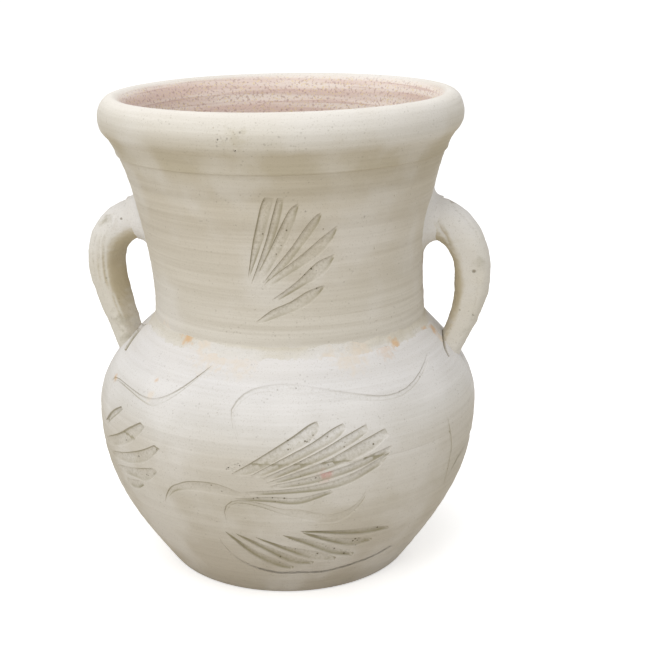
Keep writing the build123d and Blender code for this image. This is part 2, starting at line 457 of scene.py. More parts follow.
LOWER_FAN = {
    "lower_leaf_1": ([(300, 531), (345, 530), (375, 526), (388, 526)],
                     [(305, 533), (345, 535), (370, 533.5), (389, 528.5)]),
    "lower_leaf_2": ([(302, 532.5), (335, 537.5), (362, 537.5), (372, 538)],
                     [(308, 536), (330, 543), (352, 546.5), (371, 541)]),
    "lower_leaf_3": ([(282, 535), (315, 541), (340, 549), (354, 552.5)],
                     [(288, 538.5), (310, 547), (332, 555), (352, 556)]),
    "lower_leaf_4": ([(255, 537), (285, 546), (320, 552), (336, 557)],
                     [(262, 541), (285, 551), (312, 560.5), (334, 561)]),
    "lower_leaf_5": ([(235, 533), (265, 545), (295, 557), (314, 561.5)],
                     [(240, 537), (265, 551), (292, 564), (312, 565)]),
    "lower_leaf_6": ([(225, 531), (255, 550), (285, 563), (294, 566.5)],
                     [(229, 536), (252, 555), (276, 567), (292, 570)]),
    "lower_leaf_7": ([(219, 537), (225, 547), (245, 562), (275, 571), (300, 571), (330, 569), (370, 556),
                      (391, 545)],
                     [(221, 539), (227.5, 549), (246, 564), (275, 573.3), (300, 573.5), (330.5, 571),
                      (370.5, 557.8), (391.5, 546)]),
}
CURLED_LEAF = ([(165, 503), (166, 495), (170, 487), (178, 483.5), (190, 481), (215, 483.5), (241, 493)],
               [(168, 499), (171, 495), (176, 491.5), (184, 490.5), (195, 491.5), (216, 495), (240, 497.5)])
TENDRIL = ([(228, 526), (224, 512), (226, 505), (232, 501), (242, 500.5), (260, 503), (283, 509), (297, 509),
            (325, 514), (340, 512), (350, 508), (360, 500), (366, 490)],
           [(230, 525), (227, 513), (229, 507), (234, 504), (243, 504), (261, 508), (281, 515), (297, 519),
            (325, 524), (341, 521), (352, 514), (363, 502), (368, 491)])
STEM = ([(237, 440), (231, 420), (230, 412), (235, 402), (244, 393), (257, 387), (270, 384.5),
         (285, 383.5), (300, 384.5), (335, 390), (370, 394.5), (385, 395), (400, 391), (410, 384),
         (418, 374), (424, 362), (427, 352)],
        [(239, 439), (233.5, 420), (233, 413), (239, 404.5), (248, 397), (259, 393), (270, 392.5),
         (285, 393.5), (300, 396), (335, 399), (368, 401.5), (388, 400.5), (404, 395.5), (414, 387),
         (422, 376), (427, 364), (429.5, 353)])
# The second frond shows at the left edge, with its own stem.
LEFT_FAN = {
    "left_leaf_1": ([(106, 420), (109, 414), (114, 409), (121, 406)],
                    [(107, 426), (111, 420), (117, 415), (123, 409)]),
    "left_leaf_2": ([(107, 436), (118, 433), (129, 427), (140, 422)],
                    [(110, 445), (122, 446), (135, 440), (145, 427)]),
    "left_leaf_3": ([(112, 450.5), (125, 452), (140, 450), (154, 445)],
                    [(116, 458), (130, 464), (147, 462), (160, 449)]),
    "left_leaf_4": ([(118, 464), (130, 467), (140, 468), (152, 468)],
                    [(122, 472), (135, 478), (148, 482), (158, 472)]),
    "left_leaf_5": ([(127, 477), (132, 479), (138, 480), (143, 482)],
                    [(130, 485), (134, 488), (139, 489), (144, 486)]),
}
LEFT_STEM = ([(108, 396), (109, 387), (112, 379), (116, 376), (123, 381), (133, 389), (143, 395.5),
              (153, 398), (165, 395.5), (180, 388), (196, 377), (212, 365)],
             [(110, 398), (111, 389), (114, 382), (117, 380), (123, 385), (132, 393), (142, 401.5),
              (152, 407), (163, 403.5), (178, 394), (196, 380), (213, 366.5)])
RIGHT_LINE = ([(447, 409), (452, 441), (450, 460), (444, 486)],
              [(445, 410), (450, 441), (448, 460), (442, 485)])

# The open cracks between the feet of the handles and the shoulder.
FOOT_CRACKS = {
    "left_crack": ([(142, 324), (137, 329.5), (130, 339), (124, 349)],
                   [(145, 325), (140, 331), (132, 341.5), (126, 351)]),
    "right_crack": ([(445, 329), (444.8, 338), (446.5, 347), (450, 356)],
                    [(442, 330), (442.4, 338.5), (444, 348), (448.5, 357)]),
}

body_guide = duplicate(body)


def traced(clay, strokes):
    return {name: [trace(clay, edge) for edge in edges] for name, edges in strokes.items()}


fans = traced(body_guide, {**UPPER_FAN, **LOWER_FAN})
lines = traced(body_guide, {"curled_leaf": CURLED_LEAF, "tendril": TENDRIL, "stem": STEM})
left_fan = traced(body_guide, LEFT_FAN)
cracks = traced(body_guide, FOOT_CRACKS)
left_stem, right_line = (traced(body_guide, {"line": line})["line"] for line in (LEFT_STEM, RIGHT_LINE))
print(len(fans) + len(lines), "strokes in the front frond,", len(left_fan) + 1, "in the left one")

# %% [markdown]
# The potter drew the same frond five times round the belly, freehand. The front one and the left one
# are the photograph's own, and the other three repeat the front one, each a little turned and
# sized. All the cutters become one tool, which is moved as the clay was and cuts the body in one go.

# %% Cut the fronds into the belly
FAN_DEPTH = 2.5                # depth of a leaf's cut, mm
LOW_FAN_DEPTH = 3.6
LONG_LEAF_DEPTH = 0.9          # the long line under the lower fan is only scored
CRACK_DEPTH = 3.0              # the open crack under the foot of a handle
FROND_ROOT = np.array([radians(-97.3), 158.0])      # bearing and height where the leaves spring
OTHER_FRONDS = [  # how far round from the front, rise in mm, size, tilt
    (96, -6, 0.96, -5),
    (163, 5, 1.02, 3),
    (-134, -3, 0.98, 6),
]


def carried(spots, turn_by, rise, size, tilt):
    """A stroke repeated elsewhere on the belly."""
    c, s = size * cos(radians(tilt)), size * sin(radians(tilt))
    flat = (spots - FROND_ROOT) * (GIRTH_RADIUS, 1) @ np.array([[c, s], [-s, c]])
    return FROND_ROOT + flat / (GIRTH_RADIUS, 1) + (radians(turn_by), rise)


def leaf_depth(name):
    if name == "lower_leaf_7":
        return LONG_LEAF_DEPTH
    return LOW_FAN_DEPTH if name.startswith("lower") else FAN_DEPTH


def frond_cutters(place):
    """The cutters of one whole frond, each edge of each stroke moved by a function of place."""
    cutters = [shape_cutter(name, body_wall, *map(place, edges), leaf_depth(name))
               for name, edges in fans.items()]
    for name, depth, floor in (("curled_leaf", 1.6, GOUGE), ("tendril", 1.1, GROOVE), ("stem", 0.9, GROOVE)):
        cutters.append(shape_cutter(name, body_wall, *map(place, lines[name]), depth, floor))
    return cutters


def united(cutters):
    whole = cutters[0]
    for cutter in cutters[1:]:
        boolean(whole, cutter, "UNION")
    return whole


def carve(thing, cutters):
    """Cuts a piece with all of these cutters at once, moved as the clay was."""
    carving = united(cutters)
    put_points(carving, handmade(points_of(carving)))
    boolean(thing, carving)
    print(thing.name, "carved,", len(thing.data.polygons), "faces")


cutters = frond_cutters(lambda spots: spots)
cutters += [shape_cutter(name, body_wall, *edges, FAN_DEPTH) for name, edges in left_fan.items()]
cutters.append(shape_cutter("left_stem", body_wall, *left_stem, 1.0, GROOVE))
cutters.append(shape_cutter("right_line", body_wall, *right_line, 0.7, GROOVE))
cutters += [shape_cutter(name, body_wall, *edges, CRACK_DEPTH, GROOVE) for name, edges in cracks.items()]
for move in OTHER_FRONDS:
    cutters += frond_cutters(lambda spots: carried(spots, *move))
print(len(cutters), "cutters")
carve(body, cutters)

# %% [markdown]
# Fired clay also shows small pits where grit or lime came out. Each pit is a small rough
# ball with a few faces, and they are cut in the same way. How deep each point lies below the plain
# wall is kept as an attribute, because the cuts are painted darker and greener by it: partly the
# dirt in them, partly painted shade. Their steep walls are marked too, for more painted shade.

# %% Pits and the depth of the carving
PIT_SIZES = (0.5, 1.3)         # radius of the smallest and the largest pit, mm


def pits(wall, count, low, high, bearings=(0, tau), sizes=PIT_SIZES):
    """Small rough balls scattered over a wall between two heights, joined as one tool."""
    spots = np.stack([dice.uniform(*bearings, count), dice.uniform(low, high, count)], axis=1)
    places, facings = wall_at(wall, spots)
    places = handmade(places * MM)
    ball = added(bpy.ops.mesh.primitive_ico_sphere_add, "pit", subdivisions=1, radius=1)
    ball_points = points_of(ball)
    balls = []
    for place, facing in zip(places, facings):
        size = MM * dice.uniform(*sizes) * dice.uniform(0.6, 1, 3)
        pit = duplicate(ball)
        put_points(pit, ball_points[:, dice.permutation(3)] * size + place + facing * size.min() * 0.3)
        balls.append(pit)
    remove(ball)
    return join(*balls)


def float_attribute(thing, name, values):
    layer = thing.data.attributes.new(name=name, type="FLOAT", domain="POINT")
    layer.data.foreach_set("value", np.ascontiguousarray(values, dtype=float))


def carved_depth(thing, wall, deepest):
    """Notes how deep a piece is cut at each point, 1 at the deepest, and where a cut's sides are steep."""
    points = points_of(thing)
    true = true_places(points) / MM
    radius = np.hypot(true[:, 0], true[:, 1])
    wanted = np.interp(true[:, 2], wall[:, 1], wall[:, 0])
    depth = np.clip((wanted - radius) * (radius > wanted - 6) / deepest - 0.08, 0, 1)
    # The material paints the cuts darker and greener by this depth: partly dirt, partly painted shade.
    float_attribute(thing, "depth", depth)
    # Steep walls of the cuts are marked so that the material paints them darker: painted shade.
    _, facing = wall_at(wall, np.stack([np.arctan2(true[:, 1], true[:, 0]), true[:, 2]], axis=1))
    steep = smooth(0.03, 0.2, 1 - (normals_of(thing) * facing).sum(axis=1))
    float_attribute(thing, "edge", steep * smooth(0.02, 0.15, depth))


dice = np.random.default_rng(5)
FAN_ROUGHNESS = (radians(-101.5), radians(-94))     # bearings of the scraped patch where the leaves spring
for tool in (pits(body_wall, 90, 20, 250), pits(body_wall, 40, 166, 176, FAN_ROUGHNESS, (0.4, 1.0))):
    boolean(body, tool)
print("pits cut,", len(body.data.polygons), "faces")

# %% [markdown]
# The body is now cut level into the three sections it was thrown in, as the frame has them: the
# slab that closes the foot, the lower half of the belly and the upper half.

# %% Divide the body
SMOOTH_ANGLE = radians(17)
pieces = {}


def finish_surface(thing, angle=SMOOTH_ANGLE):
    only(thing)
    bpy.ops.object.shade_smooth_by_angle(angle=angle)


def section(name, whole, low, high):
    """The part of a closed shell between two levels, cut out by a flat block so that it stays closed."""
    piece = duplicate(whole)
    piece.name = name
    block = added(bpy.ops.mesh.primitive_cube_add, "block", size=1, location=(0, 0, (low + high) / 2 * MM),
                  scale=(1, 1, (high - low) * MM))
    bpy.ops.object.transform_apply(location=True, rotation=True, scale=True)
    boolean(piece, block, "INTERSECT")
    carved_depth(piece, body_wall, FAN_DEPTH)
    finish_surface(piece)
    pieces[name] = piece
    print(name, len(piece.data.polygons), "faces")
    return piece


SLAB_CUT = SLAB_TOP + 0.02     # just above the slab's top, which stays whole
section("base_clay", body, -20, SLAB_CUT)
section("belly_lower_clay", body, SLAB_CUT, GIRTH)
section("belly_upper_clay", body, GIRTH, SEAT + 20)
remove(body, body_guide)

# %% [markdown]
# ## The neck
# The neck was thrown apart. It narrows a little above the shoulder and then opens like a trumpet.
# Its outside has rows of faces every 1.6 mm, close enough to hold the finger rings and the fan.

# %% Turn the neck
NECK_FOOT_RADIUS = 144.8
WAIST, WAIST_RADIUS = SEAT + 43, 143.2
FLARE, FLARE_RADIUS = SEAT + 123, 153.4
COLLAR, COLLAR_RADIUS = 444.0, 169.0
NECK_LINES = (411.6, 401.0, 423.0, 352.0, 300.0)

neck_line = draw_line("neck_clay", [
    (NECK_FOOT_RADIUS, SEAT, (0, 0), lean(-5, 14)),
    (WAIST_RADIUS, WAIST, lean(1.2, -14), lean(1.2, 27)),
    (FLARE_RADIUS, FLARE, lean(11.6, -27), lean(11.6, 20)),
    (COLLAR_RADIUS, COLLAR, lean(22, -20), (0, 0)),
], 40)
neck_inside = draw_line("neck_inside", [
    corner(COLLAR_RADIUS, COLLAR),
    (COLLAR_RADIUS - WALL, COLLAR, (0, 0), lean(22, -20)),
    (FLARE_RADIUS - WALL, FLARE, lean(11.6, 20), lean(11.6, -27)),
    (WAIST_RADIUS - WALL, WAIST, lean(1.2, 27), lean(1.2, -14)),
    (NECK_FOOT_RADIUS - WALL, SEAT, lean(-5, 14), (0, 0)),
    corner(NECK_FOOT_RADIUS, SEAT),
], 12)
neck_wall = points_of(neck_line)[:, [0, 2]] / MM
neck_wall = neck_wall[np.argsort(neck_wall[:, 1])]
neck = turn(neck_line, neck_inside)
put_points(neck, handmade(points_of(neck), NECK_LINES))

# %% [markdown]
# A fan of seven leaves rises from one point on the front of the neck. The other side of the neck
# isn't seen, so it has the same fan again, as jars of this kind do.

# %% Cut the fan into the neck
NECK_FAN = {
    "neck_leaf_1": ([(248, 277), (252, 245), (256, 225), (260, 207), (264, 197.5)],
                    [(249, 279), (262, 245), (266, 232), (270, 216), (275, 198)]),
    "neck_leaf_2": ([(251, 284), (264, 246), (268, 232), (272, 216), (277, 198)],
                    [(254, 284), (268, 256), (277, 232), (282, 213), (284, 198)]),
    "neck_leaf_3": ([(253, 282), (270, 248), (283, 221), (290, 209), (298, 203)],
                    [(262, 284), (282, 252), (293, 228), (297, 215), (299, 205)]),
    "neck_leaf_4": ([(264, 282), (272, 271), (290, 249), (304, 229), (314, 217), (321, 212)],
                    [(268, 286), (285, 269), (302, 248), (312, 235), (319, 224), (322, 214)]),
    "neck_leaf_5": ([(264, 285), (270, 279), (300, 256), (322, 237), (337, 225.5)],
                    [(267, 289), (290, 275), (315, 259), (331, 243), (338, 228)]),
    "neck_leaf_6": ([(272, 300), (296, 282), (316, 263), (334, 254)],
                    [(276, 302.5), (305, 286), (325, 274), (335, 257)]),
    "neck_leaf_7": ([(256, 322), (272, 310), (290, 302), (308, 291), (324, 285)],
                    [(258, 325), (282, 317), (300, 310), (315, 300), (325, 287)]),
}
NECK_DEPTH = 2.4

neck_guide = duplicate(neck)
cutters = []
for turned in (0, pi):
    for name, edges in traced(neck_guide, NECK_FAN).items():
        cutters.append(shape_cutter(name, neck_wall, *(edge + (turned, 0) for edge in edges), NECK_DEPTH))
carve(neck, cutters)
boolean(neck, pits(neck_wall, 70, 275, 438))
carved_depth(neck, neck_wall, NECK_DEPTH)
finish_surface(neck)
pieces["neck_clay"] = neck
print("neck carved,", len(neck.data.polygons), "faces")

# %% [markdown]
# ## The lip
# The rim was rolled outwards while the neck turned. Under the roll a hollow band stands out from
# the neck by a step of 2 mm, and inside the mouth the clay is drawn down to the neck's wall.

# %% Turn the lip
COLLAR_STEP = 2.2
CREASE, CREASE_RADIUS = 462.5, 179.0
BULGE, BULGE_RADIUS = 481.0, 187.0
CREST, CREST_RADIUS = 502.0, 172.6
MOUTH, MOUTH_RADIUS = 478.0, 158.0

lip_line = draw_line("lip_clay", [
    corner(COLLAR_RADIUS - WALL, COLLAR),
    (COLLAR_RADIUS, COLLAR, (-2, 0), (COLLAR_STEP * 0.7, 0)),
    (COLLAR_RADIUS + COLLAR_STEP, COLLAR + 2.4, (0, -1.4), lean(10, 6)),
    (CREASE_RADIUS, CREASE, lean(30, -7), lean(50, 4)),
    (BULGE_RADIUS, BULGE, (0.2, -10.5), (-0.3, 11)),
    (CREST_RADIUS, CREST, (8.6, -0.2), (-6.5, 0)),
    (MOUTH_RADIUS, MOUTH, lean(9, 15), lean(9, -10)),
    (COLLAR_RADIUS - WALL, COLLAR, lean(-8, 14), (0, 0)),
], 14)
lip_wall = points_of(lip_line)[:, [0, 2]] / MM
lip = turn(lip_line)
put_points(lip, handmade(points_of(lip)))
outer_lip = lip_wall[(lip_wall[:, 0] > CREST_RADIUS) & (lip_wall[:, 1] > CREASE)]
outer_lip = outer_lip[np.argsort(outer_lip[:, 1])]
LIP_SCAR = (radians(-103.5), radians(-95))          # bearings of the torn spot on the front of the roll
for tool in (pits(outer_lip, 34, 468, 490, LIP_SCAR, (0.5, 1.5)), pits(outer_lip, 26, 466, 496)):
    boolean(lip, tool)
finish_surface(lip, radians(30))
pieces["lip_clay"] = lip
print("lip, %d faces" % len(lip.data.polygons))

# %% [markdown]
# The inside of the neck and the mouth fired pinker than the outside. An attribute says which points
# lie inside, fading over the crest of the lip.

# %% Mark the inside
for piece, reach in ((neck, 5.0), (lip, 5.0)):
    points = points_of(piece)
    true = true_places(points) / MM
    radius = np.hypot(true[:, 0], true[:, 1])
    outer = np.interp(true[:, 2], neck_wall[:, 1], neck_wall[:, 0])
    edge = np.where(true[:, 2] > COLLAR + 4, CREST_RADIUS - 3, outer - reach)
    float_attribute(piece, "inside", smooth(0, 7, edge - radius))
print("inside marked")

# %% [markdown]
# ## Slip in the seam
# The neck was stuck to the shoulder with soft slip, pressed in with a finger and left rough. It is a
# turned fillet with its face pushed in and out by noise, so that here and there the bare clay shows.

# %% Slip round the foot of the neck
SLIP_STEPS = 960
seam_line = draw_line("neck_seam_slip_smear", [
    (NECK_FOOT_RADIUS - 1.2, SEAT + 10.5, (0, 0), (1.2, -3)),
    (NECK_FOOT_RADIUS + 3.2, SEAT + 2.2, (-1.6, 2.6), (2.0, -2.2)),
    (SEAT_RADIUS + 5.6, SEAT - 6.6, (-3, 3), (0, 0)),
], 9)
seam_back = draw_line("seam_back", [
    corner(SEAT_RADIUS + 5.6, SEAT - 6.6),
    corner(SEAT_RADIUS - 4, SEAT - 1.5),
    corner(NECK_FOOT_RADIUS - 1.2, SEAT + 10.5),
], 2)
seam = turn(seam_line, seam_back, steps=SLIP_STEPS)


def lumps(point, size, seed):
    """Rough height, about -1 to 1, of soft clay that was smeared and tore."""
    return noise.fractal(Vector(point) / (size * MM) + Vector((seed, 0, 0)), 0.9, 2.0, 4)


points = points_of(seam)
radius = np.hypot(points[:, 0], points[:, 1]) / MM
face = smooth(-1.0, 1.5, radius + points[:, 2] / MM - (NECK_FOOT_RADIUS + SEAT + 3.4))
push = np.array([0.7 * lumps(point, 14, 3) + 0.3 * lumps(point, 3.5, 8) for point in points]) * face * MM
outward = np.stack([points[:, 0] / radius, points[:, 1] / radius, np.full(len(points), MM)], axis=1)
outward = outward / MM * 0.7
put_points(seam, handmade(points + outward * push[:, None]))
finish_surface(seam, radians(40))
pieces["neck_seam_slip_smear"] = seam

# %% [markdown]
# ## The handles
# A handle was pulled as a strap of clay, stuck to the neck, bent over and pressed on to the shoulder.
# A small polygon is extruded along the bend and each ring is shaped as the strap's section there.
# Then subdivision rounds it, and thumbs, folds and dents are pushed in afterwards.

# %% Helpers for the handles
STRAP_SPOKES = 32
STRAP_RINGS = 44
STRAP_SMOOTHING = 2            # levels of subdivision
ROOT_LEVEL = 372.0             # height of the handle's top on the neck, mm
ROOT_START = 138.0             # its end, sunk in the neck's wall
ROOT_LEAD = 181.4
BOW, BOW_LEVEL, BOW_RUN = 196.2, 316.0, 28.0
FOOT_LEVEL = 236.0
FOOT_SLANT = radians(20)
FOOT_LEAD = 26.0
FOOT_SINK = 13.0
ROOT_HALF = (22.5, 26.0)       # half of the strap's depth and width at each place
BOW_HALF = (19.0, 22.0)
FOOT_HALF = (14.5, 21.0)

# Section of each strap at the bow, as shares of half its depth (outwards) and half its width (forwards)
LEFT_SECTION = ((1.0, 0.1), (0.85, 0.62), (0.5, 0.86), (0.0, 0.97), (-0.42, 0.84), (-0.8, 0.25),
                (-1.0, -0.3), (-0.72, -0.8), (0.1, -1.0), (0.9, -0.66))
RIGHT_SECTION = ((1.0, 0.1), (0.86, 0.62), (0.46, 0.97), (-0.1, 1.0), (-0.72, 0.92), (-1.0, 0.5),
                 (-1.0, -0.35), (-0.7, -0.88), (0.2, -1.0), (0.85, -0.62))


def mix(a, b, share):
    return a + (b - a) * share


def strap_path(side):
    """Centre, outward direction and half sizes at each ring. The side is 1 or -1 along X."""
    foot = np.interp(FOOT_LEVEL, body_wall[:, 1], body_wall[:, 0])
    slant = np.array([sin(FOOT_SLANT), cos(FOOT_SLANT)])
    foot_point = np.array([foot, FOOT_LEVEL])
    bow = (BOW, BOW_LEVEL)
    knots = [((ROOT_START, ROOT_LEVEL), (ROOT_LEAD, ROOT_LEVEL), (BOW, BOW_LEVEL + BOW_RUN), bow),
             (bow, (BOW, BOW_LEVEL - BOW_RUN), foot_point + slant * FOOT_LEAD, foot_point)]
    line = []
    for a, b, c, d in (map(np.array, span) for span in knots):
        for t in np.linspace(0, 1, 40, endpoint=False):
            line.append(a * (1 - t) ** 3 + 3 * b * t * (1 - t) ** 2 + 3 * c * t * t * (1 - t) + d * t**3)
    line += [foot_point, foot_point - slant * FOOT_SINK]
    line = even_line(line, STRAP_RINGS)
    along = np.gradient(line, axis=0)
    along /= np.linalg.norm(along, axis=1)[:, None]
    outward = np.stack([-along[:, 1], along[:, 0]], axis=1)
    share = np.linspace(0, 1, STRAP_RINGS)
    bow_share = share[np.abs(line[:, 1] - BOW_LEVEL).argmin()]
    halves = np.stack([np.interp(share, (0, bow_share, 0.9, 1), (root, bow, foot, foot * 0.94))
                       for root, bow, foot in zip(ROOT_HALF, BOW_HALF, FOOT_HALF)], axis=1)
    return line * (side, 1), outward * (side, 1), halves, share


def stopped_in_wall(points):
    """Draws the sunk ends of a strap back to the middle of the wall, so that none comes out in the hollow."""
    spots = np.stack([np.arctan2(points[:, 1], points[:, 0]), points[:, 2] / MM], axis=1)
    least = np.zeros(len(points))
    for wall, entered in ((body_wall, spots[:, 1] < SEAT), (neck_wall, spots[:, 1] >= SEAT)):
        places, facings = wall_at(wall, spots)
        depth = WALL / 2 / np.hypot(facings[:, 0], facings[:, 1])
        least[entered] = (np.hypot(places[:, 0], places[:, 1]) - depth)[entered]
    grow = np.maximum(1, least * MM / np.hypot(points[:, 0], points[:, 1]))
    print("%d points drawn back, by up to %.1f mm" % ((grow > 1).sum(), ((grow - 1) / grow * least).max()))
    return points * np.stack([grow, grow, np.ones(len(points))], axis=1)


def pull_strap(name, side, section, thin=0.0):
    """A strap handle. It is thinner towards its foot by a share, on its inner side."""
    strap, ring, spoke = prism(name, STRAP_SPOKES, STRAP_RINGS)
    line, outward, halves, share = strap_path(side)
    shaped = even_line(np.array(section + section[:1]), STRAP_SPOKES + 1)[:-1]
    turns = np.arctan2(shaped[0, 1], shaped[0, 0]) + np.arange(STRAP_SPOKES) / STRAP_SPOKES * tau
    oval = np.stack([np.cos(turns), np.sin(turns)], axis=1)
    from_root = smooth(0.12, 0.42, share)[ring][:, None]
    form = mix(oval[spoke], shaped[spoke], from_root)
    lower = smooth(0.5, 0.85, share)[ring]
    form[:, 0] *= 1 - thin * lower * (form[:, 0] < 0)
    size = form * halves[ring]
    place = line[ring] + outward[ring] * size[:, :1]
    put_points(strap, np.stack([place[:, 0], -size[:, 1], place[:, 1]], axis=1) * MM)
    in_edit(strap, lambda: bpy.ops.mesh.normals_make_consistent(inside=False))
    apply_modifier(strap, "SUBSURF", levels=STRAP_SMOOTHING, render_levels=STRAP_SMOOTHING)
    put_points(strap, handmade(stopped_in_wall(points_of(strap))))
    pieces[name] = strap
    print(name, len(strap.data.polygons), "faces")
    return strap


def pushed(thing, heights):
    """Moves each point of a piece along its normal, by a height in mm."""
    put_points(thing, points_of(thing) + normals_of(thing) * heights[:, None] * MM)


def dented(thing, size, height, seed):
    """Uneven clay: noise of one size and height, in mm."""
    pushed(thing, height * np.array([lumps(point, size, seed) for point in points_of(thing)]))


def scored(thing, pixels, height, width, fade=0.2):
    """Pushes a soft line into a piece (or out of it), where the camera sees these pixels. Sizes in mm."""
    bpy.context.view_layer.update()
    spots = [thing.ray_cast(Vector(stand), sight(pixel)) for pixel in even_line(pixels, 40)]
    line = np.array([place for hit, place, _, _ in spots if hit])
    if not len(line):
        print("the camera sees no", thing.name, "along", pixels[0])
        return np.zeros(len(thing.data.vertices))
    points = points_of(thing)
    away = np.linalg.norm(points[:, None] - line[None], axis=2)
    nearest = away.argmin(axis=1)
    share = nearest / (len(line) - 1)
    ends = np.clip(np.minimum(share, 1 - share) / fade + 0.15, 0, 1) if fade else 1
    heights = height * ends * np.exp(-((away.min(axis=1) / (width * MM)) ** 2))
    pushed(thing, heights)
    return heights


print("strap helpers ready")

# %% [markdown]
# The left strap turns a ridged edge to the front, with three grooves that a thumb left below a
# fold. The right strap shows a flat face with a crease along its outer side. Both feet stand a
# little proud of the shoulder, over an open crack.

# %% Pull the handles
handle_left = pull_strap("handle_left_strap", -1, LEFT_SECTION)
handle_right = pull_strap("handle_right_strap", 1, RIGHT_SECTION, thin=0.16)

LEFT_SCORES = [  # pixels, height, width
    ([(100, 229), (95, 238), (92.5, 248), (93, 260), (94, 270), (96, 281), (99, 292)], -0.9, 1.6),
    ([(102, 227), (97.5, 236), (96, 248), (96.5, 260), (98, 274), (102, 290)], 0.7, 1.5),
    ([(104, 231), (100, 238), (99, 250), (99, 262), (100, 275), (103, 288)], -0.9, 1.2),
    ([(107, 230), (102, 239), (101.5, 250), (102, 262), (103.5, 275), (107, 290)], 0.7, 1.3),
    ([(110, 232), (105, 238), (104, 250), (104.5, 262), (106, 275), (109, 287)], -0.8, 1.2),
    ([(112, 213), (116, 214), (117.5, 219), (117, 226)], -0.9, 1.3),
    ([(114, 217), (114, 223), (111, 229)], 0.9, 1.8),
    ([(113, 292), (115, 300), (118, 308), (122, 317), (124, 326)], -0.7, 1.0),
    ([(113, 342), (116, 343), (119, 346), (121, 350)], -1.0, 1.0),
    ([(101, 226), (104, 221), (108, 216)], -0.7, 0.9),
]
RIGHT_SCORES = [
    ([(450, 201), (456, 209), (463, 216), (470, 224), (476, 232), (480, 242)], -0.9, 1.5),
    ([(455, 202), (463, 211), (471, 221), (478, 233), (482, 245)], 0.5, 2.0),
    ([(477, 268), (477.5, 285), (475.5, 300), (473, 315), (469, 326)], -0.6, 1.4),
    ([(434, 217), (438, 223), (441, 230), (446, 237), (450, 247)], -1.3, 1.6),
    ([(439, 217), (444, 224), (449, 233), (453, 244)], 0.8, 2.2),
    ([(459, 338), (463, 334), (466, 328)], -0.6, 1.5),
]
for strap, scores, seed in ((handle_left, LEFT_SCORES, 11), (handle_right, RIGHT_SCORES, 19)):
    dented(strap, 26, 0.8, seed)
    depth = sum(np.maximum(0, -scored(strap, pixels, height, width)) for pixels, height, width in scores)
    # The depth of the scored grooves; the material paints them olive: partly dirt, partly painted shade.
    float_attribute(strap, "depth", np.clip(depth, 0, 0.8))
    dented(strap, 4, 0.16, seed + 1)
    # The faces turned towards the neck are marked as inner, and the material paints them darker: painted
    # shade.
    points = points_of(strap)
    middle = np.array([np.sign(points[:, 0].mean()) * 0.165, 0, 0.305])
    inward = (middle - points) * (1, 0, 1)
    inward /= np.linalg.norm(inward, axis=1)[:, None]
    float_attribute(strap, "inner", smooth(0.1, 0.75, (normals_of(strap) * inward).sum(axis=1)))
    finish_surface(strap, radians(50))

# %% [markdown]
# ## Slip round the roots
# At the top each strap was worked into the neck with slip. The collar of slip starts as a torus.
# Its rings are laid from the neck's wall up the strap, along a quarter of an oval, so that it meets
# both surfaces smoothly. Rays find where the strap and the wall are.

# %% Work slip round the roots
COLLAR_RINGS = 180
COLLAR_ROWS = 18
COLLAR_SPREAD = 14.0           # how far the slip spreads over the neck, mm
COLLAR_RISE = 13.0             # and how far it climbs along the strap


def root_collar(name, side, strap, seed):
    bpy.context.view_layer.update()
    collar = added(bpy.ops.mesh.primitive_torus_add, name, major_segments=COLLAR_RINGS,
                   minor_segments=COLLAR_ROWS, major_radius=2, minor_radius=1)
    points = points_of(collar)
    ring = np.rint(np.arctan2(points[:, 1], points[:, 0]) / tau * COLLAR_RINGS).astype(int) % COLLAR_RINGS
    tube = np.arctan2(points[:, 2], np.hypot(points[:, 0], points[:, 1]) - 2)
    row = np.rint(tube / tau * COLLAR_ROWS).astype(int) % COLLAR_ROWS
    outer_rows = COLLAR_ROWS - 4
    table = np.zeros((COLLAR_RINGS, COLLAR_ROWS, 3))
    for number in range(COLLAR_RINGS):
        angle = number / COLLAR_RINGS * tau
        away = Vector((0, cos(angle), sin(angle)))
        rough = 1 + 0.16 * noise.noise(Vector((1.7 * cos(angle), 1.7 * sin(angle), seed)))
        for step in range(COLLAR_ROWS):
            share = min(step / (outer_rows - 1), 1)
            bend = share * pi / 2
            climb = COLLAR_RISE * rough * (1 - cos(bend)) * MM
            start = Vector((side * 0.160, 0, ROOT_LEVEL * MM + 0.0002))
            hit, place, _, _ = strap.ray_cast(start, away)
            reach = (place - start).length + COLLAR_SPREAD * rough * (1 - sin(bend)) * MM
            spot = start + away * reach
            wall = neck.ray_cast(Vector((side * 0.3, spot.y, spot.z)), Vector((-side, 0, 0)))[1]
            x = wall.x + side * climb
            if step == 0:
                x -= side * 1.0 * MM
            if step >= outer_rows:                 # the hidden back of the collar, inside the clay
                back = (step - outer_rows + 1) / 5
                spot = start + away * (reach - 4 * MM * sin(back * pi) - 2 * MM)
                x = wall.x + side * (climb * (1 - back) - 2.5 * MM)
            table[number, step] = (x, spot.y, spot.z)
    put_points(collar, table[ring, row])
    in_edit(collar, lambda: bpy.ops.mesh.normals_make_consistent(inside=False))
    apply_modifier(collar, "SUBSURF", levels=1, render_levels=1)
    dented(collar, 12, 0.4, seed)
    dented(collar, 3, 0.12, seed + 1)
    finish_surface(collar, radians(60))
    pieces[name] = collar
    print(name, len(collar.data.polygons), "faces")
    return collar


root_collar("handle_left_slip_collar", -1, handle_left, 31)
root_collar("handle_right_slip_collar", 1, handle_right, 37)

# %% [markdown]
# ## Clay colours and finishes
# The clay is unglazed, so the shader is rough everywhere and all the interest is in its colour and
# fine relief. A small class wraps a socket, so that the maths of a pattern reads as a sum.


